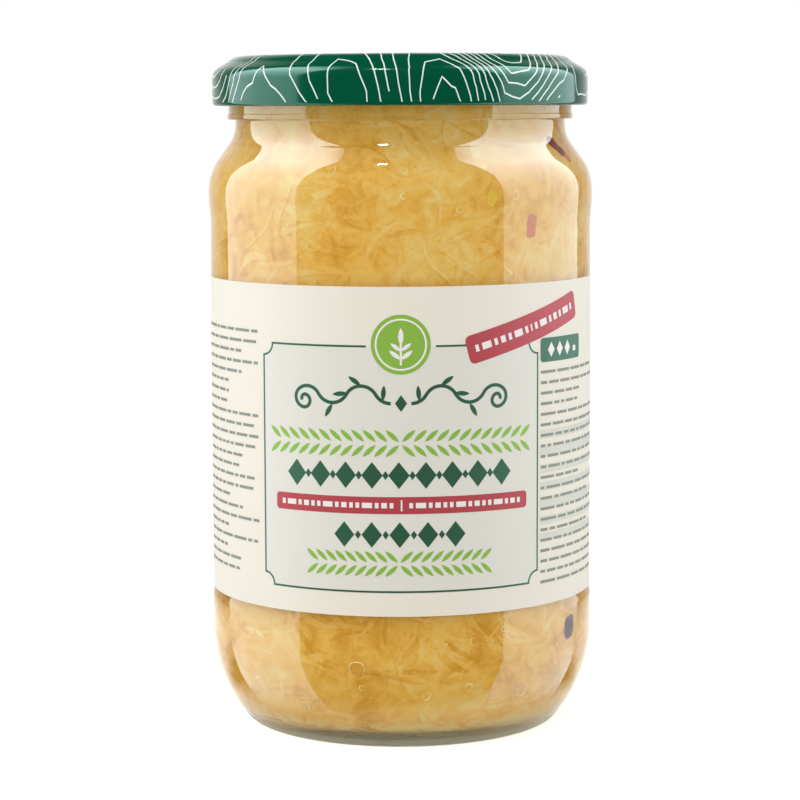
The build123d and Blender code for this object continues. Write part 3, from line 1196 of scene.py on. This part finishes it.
class JAR_OT_print(bpy.types.Operator):
    """Model the print on the label: a border, garlands, scrolls and plain marks"""

    bl_idname = "jar.print"
    bl_label = "Label print"

    def execute(self, context):
        label = context.scene.label_sizes
        for layer, ink, ink_colour, draw in (
            (0, "panel", label.panel, self.panel),
            (0, "grey_wash", label.wash, self.stripes),
            (1, "dark_green", label.dark_green, self.dark_green),
            (1, "light_green", label.light_green, self.light_green),
            (1.5, "red", label.red, self.red),
            (1, "grey", label.grey, self.grey),
            (2.5, "white", label.white, self.white),
        ):
            piece = draw(label)
            piece.name = "print_" + ink
            self.wrap(piece, label, (0.2 + 0.9 * layer) * label.ink)
            # Offset ink on uncoated paper: it sinks in and stays matt.
            finish = plain_finish("offset_ink_" + ink, ink_colour, 0.55, 0.4 * MM, 0.1, 0.06)
            complete(piece, finish)
        return {"FINISHED"}

    def wrap(self, piece, label, gap):
        """Cuts a flat print every 2 mm and lays it round the label, a gap off it."""
        step = 2 * MM
        across = vertices(piece)[:, 0]
        bpy.context.view_layer.objects.active = piece
        edit()
        first, last = math.ceil(across.min() / step), math.ceil(across.max() / step)
        cut_at([cut * step for cut in range(first, last)], (1, 0, 0))
        deselect()
        flat = vertices(piece)
        paper = TurnedSurface([(label.radius, label.bottom), (label.radius, label.top)])
        round_it = flat[:, 0] / label.radius
        move_vertices(piece, paper.place(round_it, flat[:, 2] - label.bottom, gap - flat[:, 1]))

    def border_sizes(self, label):
        """The border's width, lower and upper line and corner, in millimetres."""
        sizes = label.border_width, label.border_bottom, label.border_top, label.border_notch
        return [size / MM for size in sizes]

    def panel(self, label):
        return inked(label.ink, [(draw_panel, *self.border_sizes(label))])

    def stripes(self, label):
        """Bands behind every other line of the small marks."""
        places = []
        for start, end in ((33.6, 62), (88, 118)):
            for z in np.arange(46, 70, 3.8):
                places += [(part + 2, z, 4, 1.9, 0) for part in np.arange(start, end, 4)]
        return dashes(places, label.ink)

    def dark_green(self, label):
        border = [(draw_border, *self.border_sizes(label), 15)]
        scrolls = [(draw_scroll, side * 2.2, 77.2, side) for side in (-1, 1)]
        shapes = [(draw_lozenge, 0, 77.2, 2.6, 3.6)]
        for side in (-1, 1):
            for x, z, degrees in (
                (3.9, 77.7, 95), (8.6, 81.0, 35), (11.6, 79.3, -5), (15.0, 77.0, -60),
            ):
                shapes.append((draw_leaf, side * x, z, side, degrees, 3.4))
        shapes += [
            (draw_lozenges, -26, 25, 61.7, 5.8, 9), (draw_lozenges, -14.7, 14, 48.8, 5.6, 5),
            (draw_field, 41.7, 87.3, 16.1, 5.3, 0.8),
        ]
        return join([
            inked(label.ink, border, label.border_line),
            inked(label.ink, scrolls, label.scroll_line), inked(label.ink, shapes),
        ])

    def light_green(self, label):
        radius, height = label.medallion / MM, label.medallion_height / MM
        return inked(label.ink, [
            (draw_circle, radius, height, 48, "NGON"),
            (draw_garland, -30, 29.7, 68.6, 3.9), (draw_garland, -20.5, 19.5, 42.5, 3.7),
        ])

    def red(self, label):
        return inked(label.ink, [
            (draw_field, 0.1, 55.2, 58.5, 3.7, 0.8),
            (draw_field, 30.8, 92.5, 33.7, 6.2, 1.2, 15),
        ])

    def white(self, label):
        """Marks on the red and green fields, and the sprig in the medallion."""
        radius, height = 0.84 * label.medallion / MM, label.medallion_height / MM
        ring = inked(label.ink, [(draw_circle, radius, height, 64)], 0.4 * MM)
        foot = 86.2
        shapes = [(draw_leaf, 0, foot + 3.4, 1, 90, 3.8)]
        for side in (-1, 1):
            for lift, size in ((0.4, 3.2), (2.2, 2.8)):
                shapes.append((draw_leaf, 0, foot + lift, side, 38, size))
        shapes.append((draw_field, 0, foot + 1.5, 0.5, 4.6, 0.1))
        shapes += [(draw_lozenge, 37.2 + 3.2 * step, 87.3, 2.4, 3.3) for step in range(3)]
        stitch = (0.8, 2.2, 0.8, 1.2, 0.8)
        places = []
        for row in (
            (3 * stitch, 0.6, -14.6, 55.2, 1.15), (3 * stitch, 0.6, 14.6, 55.2, 1.15),
            ((0.35,), 0, 0.05, 55.2, 2.4),
            ((*stitch, 2.2, 0.8, 0.4, *stitch, 2.2, 0.8), 0.85, 30.8, 92.5, 1.5, 15),
            ((1.4,), 0, 46.9, 86.9, 1.2),
        ):
            places += row_of_dashes(*row)
        return join([ring, inked(label.ink, shapes), dashes(places, label.ink)])

    def grey(self, label):
        """Columns of small plain dashes, in lines as long and as ragged as small print."""
        rng = random.Random(label.print_seed)
        places = []
        for start, end, high, low in (
            (33.8, 62, 82.5, 34), (67, 84, 91, 60), (88, 118, 86, 40), (-62.5, -34.8, 91.6, 38),
            (-92, -66, 88, 44), (-122, -98, 90, 52),
        ):
            z = high
            while z > low:
                x, stop = start, end - rng.choice((0, 0, 0.5, 1.5, 6, 12))
                while x < stop - 1:
                    width = min(rng.uniform(1.2, 5.6), stop - x)
                    places.append((x + width / 2, z, width, 0.62, 0))
                    x += width + 0.75
                z -= label.small_pitch / MM
        return dashes(places, label.ink)


# ---- the lid ----


def draw_lid(pen, lid):
    """The outside of the lid, from the button out and down to the foot of the skirt."""
    top = LID_HIGH.z
    panel = top - lid.panel_drop
    crown = panel + lid.button_height
    soft = 0.8 * MM
    button, ramp = lid.button_radius, lid.button_ramp
    step_start = lid.ring_inner - lid.panel_ramp
    pen.start(0, crown)
    pen.pass_by(
        (button - ramp, crown, soft, 4), (button, panel, soft, 1),
        (step_start, panel, 0.4 * soft, 8), (lid.ring_inner, top, 0.4 * soft, 1),
        (lid.ring_outer, top),
    )
    pen.line_to(lid.ring_outer, top)
    pen.bend(lid.ring_round, -lid.ring_sweep, 12)
    slope_end = lid.radius - lid.corner * (1 - math.sin(lid.slope))
    slope_foot = pen.z - (slope_end - pen.x) * math.tan(lid.slope)
    pen.line_to(slope_end, slope_foot, 3)
    pen.bend(lid.corner, lid.slope - math.pi / 2, 14)
    pen.line_to(lid.radius, LID_LOW.z + lid.curl_radius, 6)


class JAR_OT_lid(bpy.types.Operator):
    """Model the twist-off lid with its lugs"""

    bl_idname = "jar.lid"
    bl_label = "Lid"

    def execute(self, context):
        lid = context.scene.lid_sizes
        piece = blank("twist_off_lid")
        pen = Pen()
        draw_lid(pen, lid)
        pen.bend(lid.curl_radius, -math.radians(285), 20)
        turn_on_axis(240)
        deselect()
        modify(piece, "SOLIDIFY", thickness=lid.gauge, offset=-1, use_even_offset=True)
        lugs = [self.lug(lid)]
        for step in range(1, lid.lugs):
            lugs.append(lugs[0].copy())
            lugs[-1].data = lugs[0].data.copy()
            context.collection.objects.link(lugs[-1])
            lugs[-1].rotation_euler.z = lugs[0].rotation_euler.z + step * math.tau / lid.lugs
        join([piece, *lugs])
        # Gloss lacquer on tinplate: deep green, with clean but slightly soft reflections.
        lacquer = plain_finish(
            "green_gloss_lacquer_on_tinplate", lid.lacquer, 0.13, 1.2 * MM, 0.05, 0.0,
            **{"Specular Tint": (0.62, 1.0, 0.8, 1.0)},
        )
        complete(piece, lacquer, 40)
        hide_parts("lid")
        return {"FINISHED"}

    def lug(self, lid):
        """One lug, flattened out of the curl and reaching in under a thread."""
        piece = blank("lug")
        outer = lid.radius - lid.curl_radius
        middle = LID_LOW.z + lid.curl_radius
        low, high = middle - lid.lug_height / 2, middle + lid.lug_height / 2
        Pen().start(lid.lug_radius, low).line_to(outer, low).line_to(outer, high).line_to(
            lid.lug_radius, high
        )
        select_all()
        bpy.ops.mesh.edge_face_add()
        turn_on_axis(8, lid.lug_arc)
        deselect()
        modify(piece, "BEVEL", width=0.2 * MM, segments=2)
        piece.rotation_euler.z = lid.lug_middle - lid.lug_arc / 2
        return piece


# ---- the lines on the lid ----

# Hills of the landscape that the contour lines belong to: angle from the front in degrees,
# run from the middle of the lid and width of the foot in millimetres, and height.
HILLS = (
    (-80, 50, 24, 2.0), (46, 36, 27, 2.2), (118, 46, 20, 1.5), (172, 30, 24, -1.7),
    (-138, 44, 22, 1.8), (-30, 12, 18, -1.0),
)


class JAR_OT_lines(bpy.types.Operator):
    """Model the pale contour lines printed on the lid"""

    bl_idname = "jar.lines"
    bl_label = "Contour lines"

    def execute(self, context):
        lid = context.scene.lid_sizes
        piece = blank("lid_contour_lines")
        draw_lid(Pen(), lid)
        surface = TurnedSurface(outline_of(piece), -1)
        foot = surface.run[-1]
        rng = np.random.default_rng(lid.line_seed)
        self.landscape(piece, lid, foot, rng)
        self.trace(piece, lid, foot, rng)
        self.thicken(piece, lid)
        flat = vertices(piece)
        angle = np.arctan2(flat[:, 0], -flat[:, 1])
        run = np.minimum(np.hypot(flat[:, 0], flat[:, 1]), foot)
        move_vertices(piece, surface.place(angle, run, flat[:, 2] + 0.7 * lid.line_ink))
        # Mint-white printing ink under the clear top coat of the lacquer.
        finish = plain_finish("mint_white_lacquer_print", lid.line, 0.25, 0.8 * MM, 0.05, 0.04)
        complete(piece, finish)
        return {"FINISHED"}

    def landscape(self, piece, lid, foot, rng):
        """A faceted sheet with hills, over the flat blank that the lid is drawn from. The
        facets are smaller near the hilltops, so that the lines are rounder there."""
        select_all()
        bpy.ops.mesh.delete(type="VERT")
        across = 2.1 * foot
        facets = round(across / lid.line_grid)
        bpy.ops.mesh.primitive_grid_add(x_subdivisions=facets, y_subdivisions=facets, size=across)
        deselect()
        points = vertices(piece)
        points[:, :2] += rng.uniform(-0.3, 0.3, (len(points), 2)) * lid.line_grid
        move_vertices(piece, points)
        modify(piece, "TRIANGULATE")
        near = np.zeros(len(points), bool)
        for middle, width, _ in self.hills():
            near |= np.hypot(*(vertices(piece)[:, :2] - middle).T) < 0.7 * width
        select_only(piece.data.vertices, near)
        bpy.ops.mesh.subdivide(number_cuts=3)
        deselect()
        modify(piece, "TRIANGULATE")
        points = vertices(piece)
        swell = [noise.noise(Vector((x, y, 0)) / (30 * MM)) for x, y, _ in points]
        points[:, 2] = 1.3 * np.array(swell)
        for middle, width, tall in self.hills():
            away = np.hypot(*(points[:, :2] - middle).T)
            points[:, 2] += tall * np.clip(1 - away / width, 0, 1)
        move_vertices(piece, points)

    def hills(self):
        """Middle on the blank, width and height of each hill."""
        for angle, run, width, tall in HILLS:
            facing = math.radians(angle)
            middle = np.array((math.sin(facing), -math.cos(facing))) * run * MM
            yield middle, width * MM, tall

    def trace(self, piece, lid, foot, rng):
        """Cuts the landscape at each level and keeps only the cuts, less a few gaps."""
        step = lid.line_step
        heights = vertices(piece)[:, 2]
        edit()
        lowest, highest = math.ceil(heights.min() / step), math.ceil(heights.max() / step)
        cut_at([level * step for level in range(lowest, highest)], (0, 0, 1))
        bpy.ops.mesh.select_mode(type="EDGE")
        bpy.ops.object.mode_set(mode="OBJECT")
        ends = np.empty(len(piece.data.edges) * 2, np.int32)
        piece.data.edges.foreach_get("vertices", ends)
        first, second = vertices(piece)[ends.reshape(-1, 2).T]
        level = first[:, 2] / step
        wanted = np.abs(level - np.round(level)) < 0.001
        wanted &= np.abs(first[:, 2] - second[:, 2]) < 0.001 * step
        middle = (first[:, :2] + second[:, :2]) / 2
        wanted &= np.hypot(*middle.T) < foot
        for _ in range(26):
            hole, size = rng.uniform(-foot, foot, 2), rng.uniform(1.5, 4.5) * MM
            wanted &= np.hypot(*(middle - hole).T) > size
        select_only(piece.data.edges, ~wanted)
        bpy.ops.mesh.delete(type="EDGE")
        bpy.ops.mesh.select_mode(type="VERT")
        select_all()
        bpy.ops.mesh.delete_loose(use_verts=True, use_edges=False, use_faces=False)
        deselect()
        move_vertices(piece, vertices(piece) * (1, 1, 0))

    def thicken(self, piece, lid):
        """Gives the traced lines their width and the thickness of the ink."""
        edit()
        bpy.ops.mesh.remove_doubles(threshold=0.15 * MM)
        bpy.ops.mesh.subdivide(number_cuts=5)
        bpy.ops.mesh.extrude_region_move(TRANSFORM_OT_translate={"value": (0, 0, lid.line_ink)})
        select_all()
        bpy.ops.mesh.normals_make_consistent(inside=False)
        deselect()
        modify(piece, "SOLIDIFY", thickness=lid.line_width, offset=0)


# ---- the stage ----


def soft_lamp(name, degrees, distance, height, size, power, aim):
    """A rectangular area lamp at an angle round the jar, which faces the axis at height aim."""
    lamp = bpy.data.lights.new(name, "AREA")
    lamp.shape = "RECTANGLE"
    lamp.size, lamp.size_y = size
    lamp.energy = power
    holder = bpy.data.objects.new(name, lamp)
    bpy.context.collection.objects.link(holder)
    angle = math.radians(degrees)
    holder.location = (distance * math.sin(angle), -distance * math.cos(angle), height)
    way = Vector((0, 0, aim)) - holder.location
    holder.rotation_euler = way.to_track_quat("-Z", "Y").to_euler()
    holder.visible_camera = False
    return holder


class JAR_OT_stage(bpy.types.Operator):
    """Set up the floor, the soft studio light and the camera"""

    bl_idname = "jar.stage"
    bl_label = "Stage"

    def execute(self, context):
        stage = context.scene.stage_settings
        self.floor(stage)
        self.world(context.scene, stage)
        # The two tall softboxes light only reflections. Each has its angle and its width.
        away, middle, tall = stage.softbox_away, stage.softbox_middle, stage.softbox_tall
        for angle, width in ((-93, 0.72), (95.7, 0.82)):
            power = stage.softbox * math.pi * width * tall
            box = soft_lamp("softbox", angle, away, middle, (width, tall), power, middle)
            box.visible_diffuse = False
            box.visible_transmission = False
            self.hot_middle(box.data)
        # A large soft lamp that reflections don't see, and a small one that only they see.
        key = soft_lamp("key", -75, 0.9, 0.8, (0.7, 0.7), stage.key, stage.waist)
        key.visible_glossy = False
        spark = soft_lamp("spark", -18, 0.5, 1.1, (0.09, 0.035), 2.4, stage.waist)
        spark.visible_diffuse = False
        camera = bpy.data.cameras.new("camera")
        camera.lens = stage.lens
        camera.sensor_width = 36.0
        holder = bpy.data.objects.new("camera", camera)
        context.collection.objects.link(holder)
        holder.location = (0, -stage.distance, stage.eye)
        holder.rotation_euler = (math.pi / 2 - stage.pitch, stage.roll, 0)
        context.scene.camera = holder
        context.scene.view_settings.view_transform = "Standard"
        return {"FINISHED"}

    def hot_middle(self, lamp):
        """Makes a softbox cool white, brightest where its tube shines through and faint at
        its top."""
        tree = empty_tree(lamp)
        where = node(tree, "NewGeometry").outputs["Parametric"]
        up = node(tree, "SeparateXYZ", {0: where}).outputs["Y"]
        away = node(tree, "Math", {0: up, 1: 0.665}, operation="SUBTRACT")
        away = node(tree, "Math", {0: away}, operation="ABSOLUTE")
        hot = node(
            tree, "MapRange",
            {"Value": away, "From Max": 0.2, "To Min": 2.6, "To Max": 0.9},
            interpolation_type="SMOOTHSTEP",
        )
        fade = node(
            tree, "MapRange",
            {"Value": up, "From Min": 0.72, "From Max": 0.95, "To Min": 1.0, "To Max": 0.25},
        )
        level = node(tree, "Math", {0: hot, 1: fade}, operation="MULTIPLY")
        light = node(
            tree, "Emission", {"Color": (0.8, 0.92, 1.0, 1.0), "Strength": level}
        )
        node(tree, "OutputLight", {"Surface": light})

    def floor(self, stage):
        deselect()
        bpy.ops.mesh.primitive_plane_add(size=6, location=(0, 0, 0))
        floor = bpy.context.object
        floor.name = "floor"
        # Matt painted board, near white, that shows white where no shadow falls on it.
        material = bpy.data.materials.new("matt_white_board")
        tree = empty_tree(material)
        path = node(tree, "LightPath").outputs
        seen = node(
            tree, "Math", {0: path["Is Camera Ray"], 1: path["Is Glossy Ray"]},
            operation="MAXIMUM",
        )
        glow = node(
            tree, "Math", {0: seen, 1: 0.6, 2: path["Is Transmission Ray"]},
            operation="MULTIPLY_ADD",
        )
        board = node(
            tree, "BsdfPrincipled",
            {
                "Base Color": rgba(stage.floor), "Roughness": 0.8, "Specular IOR Level": 0.0,
                "Emission Color": (1, 1, 1, 1), "Emission Strength": glow,
            },
        )
        # Reflections see only the parts of the board that are close to the jar or behind it.
        # Elsewhere they see past it to the softboxes, which reach down below its level.
        place = node(tree, "TexCoord").outputs["Object"]
        away = node(tree, "VectorMath", {0: place}, operation="LENGTH").outputs["Value"]
        facing = node(tree, "VectorMath", {0: place}, operation="NORMALIZE")
        back = node(tree, "SeparateXYZ", {0: facing}).outputs["Y"]
        off_jar, ahead, far_off = (
            node(
                tree, "MapRange",
                {
                    "Value": value, "From Min": start, "From Max": end, "To Min": low,
                    "To Max": 1.0 - low,
                },
            )
            for value, start, end, low in (
                (away, 0.044, 0.054, 0.0), (back, 0.1, 0.35, 1.0), (away, 0.13, 0.19, 0.0),
            )
        )
        unseen = node(tree, "Math", {0: off_jar, 1: ahead}, operation="MULTIPLY")
        unseen = node(tree, "Math", {0: unseen, 1: far_off}, operation="MAXIMUM")
        skipped = node(
            tree, "Math", {0: unseen, 1: path["Is Glossy Ray"]}, operation="MULTIPLY"
        )
        clear = node(tree, "BsdfTransparent")
        surface = node(tree, "MixShader", {0: skipped, 1: board, 2: clear})
        node(tree, "OutputMaterial", {"Surface": surface})
        floor.data.materials.append(material)

    def world(self, scene, stage):
        """White where it is looked at, and white behind the jar in reflections; elsewhere it
        is a dim room that gives an even fill."""
        scene.world = bpy.data.worlds.new("studio")
        tree = empty_tree(scene.world)
        path = node(tree, "LightPath").outputs
        place = node(tree, "TexCoord").outputs["Generated"]
        back = node(tree, "SeparateXYZ", {0: place}).outputs["Y"]
        behind = node(
            tree, "MapRange", {"Value": back, "From Min": 0.62, "From Max": 1.0}
        )
        white = node(
            tree, "Math", {0: behind, 1: path["Is Glossy Ray"]}, operation="MULTIPLY"
        )
        for ray in ("Is Camera Ray", "Is Transmission Ray"):
            white = node(tree, "Math", {0: white, 1: path[ray]}, operation="MAXIMUM")
        dim = node(
            tree, "MapRange",
            {"Value": path["Is Glossy Ray"], "To Min": stage.fill, "To Max": 0.0},
        )
        room, sheet = (
            node(tree, "Background", {"Color": (1, 1, 1, 1), "Strength": strength})
            for strength in (dim, 1.0)
        )
        mix = node(tree, "MixShader", {0: white, 1: room, 2: sheet})
        node(tree, "OutputWorld", {"Surface": mix})


# ---- the add-on ----


class JAR_PT_panel(bpy.types.Panel):
    """Lists the steps and the sizes"""

    bl_label = "Sauerkraut jar"
    bl_idname = "JAR_PT_panel"
    bl_space_type = "VIEW_3D"
    bl_region_type = "UI"
    bl_category = "Jar"

    def draw(self, context):
        for step in STEPS:
            self.layout.operator(step.bl_idname)
        for name in GROUPS:
            box = self.layout.box()
            group = getattr(context.scene, name)
            for prop in group.__annotations__:
                box.prop(group, prop)


GROUPS = {
    "jar_sizes": JarSizes,
    "lid_sizes": LidSizes,
    "label_sizes": LabelSizes,
    "food_sizes": FoodSizes,
    "stage_settings": StageSettings,
}
STEPS = (
    JAR_OT_glass, JAR_OT_food, JAR_OT_bits, JAR_OT_label, JAR_OT_print, JAR_OT_lid,
    JAR_OT_lines, JAR_OT_stage,
)


def register():
    for cls in (*GROUPS.values(), *STEPS, JAR_PT_panel):
        bpy.utils.register_class(cls)
    for name, group in GROUPS.items():
        setattr(bpy.types.Scene, name, PointerProperty(type=group))


def unregister():
    for name in GROUPS:
        delattr(bpy.types.Scene, name)
    for cls in reversed((*GROUPS.values(), *STEPS, JAR_PT_panel)):
        bpy.utils.unregister_class(cls)


def main():
    register()
    bpy.ops.jar.glass()
    bpy.ops.jar.food()
    bpy.ops.jar.bits()
    bpy.ops.jar.label()
    bpy.ops.jar.print()
    bpy.ops.jar.lid()
    bpy.ops.jar.lines()
    bpy.ops.jar.stage()


if __name__ == "__main__":
    main()
